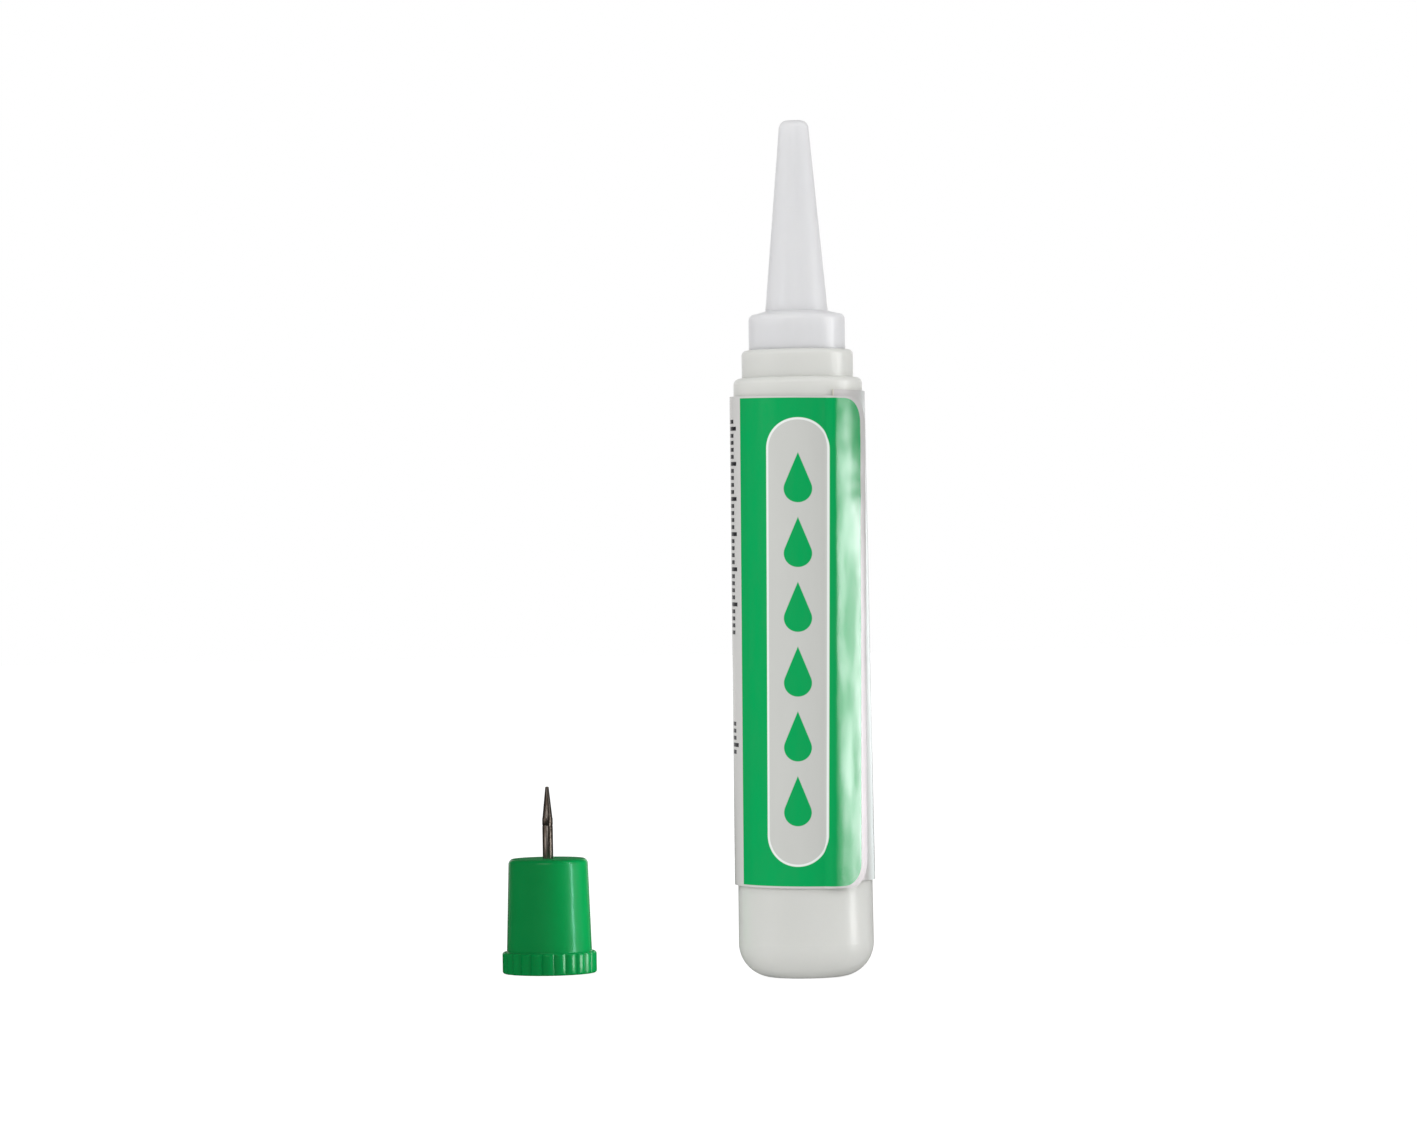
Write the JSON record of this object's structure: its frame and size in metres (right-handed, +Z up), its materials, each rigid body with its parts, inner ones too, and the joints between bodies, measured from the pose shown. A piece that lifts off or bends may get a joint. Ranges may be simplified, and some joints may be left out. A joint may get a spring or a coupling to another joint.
{
  "type": "super glue tube",
  "caption": "Slim round dropper tube for instant adhesive, with a stepped shoulder, tapered spout and wrapped label; a ribbed cap with a steel pin stands loose beside it.",
  "frame": {"origin": "centre of the bottle's flat underside, on the tube's axis", "axes": "+Z up the tube's axis towards the spout's tip; -Y is the front, which the label's panel faces; +X is to the right seen from the front, and the loose cap stands to the left"},
  "size_m": [0.0378, 0.0218, 0.0856],
  "materials": {
    "bottle_plastic": "milky natural polyethylene, satin",
    "nozzle_plastic": "milky natural polyethylene, satin",
    "label_film": "printed film, semi-gloss",
    "adhesive_liquid": "clear liquid",
    "cap_plastic": "green moulded plastic, gloss",
    "pin_steel": "drawn wire with a ground point"
  },
  "bodies": {
    "tube": {"bottle": "bottle_plastic", "nozzle": "nozzle_plastic", "label": "label_film", "adhesive": "adhesive_liquid"},
    "pin_cap": {"cap": "cap_plastic", "pin": "pin_steel"}
  },
  "joints": [
    {"name": "cap_lift", "type": "slide", "parent": "tube", "child": "pin_cap", "axis": [0, 0, 1], "range_m": [0, 0.1]}
  ]
}
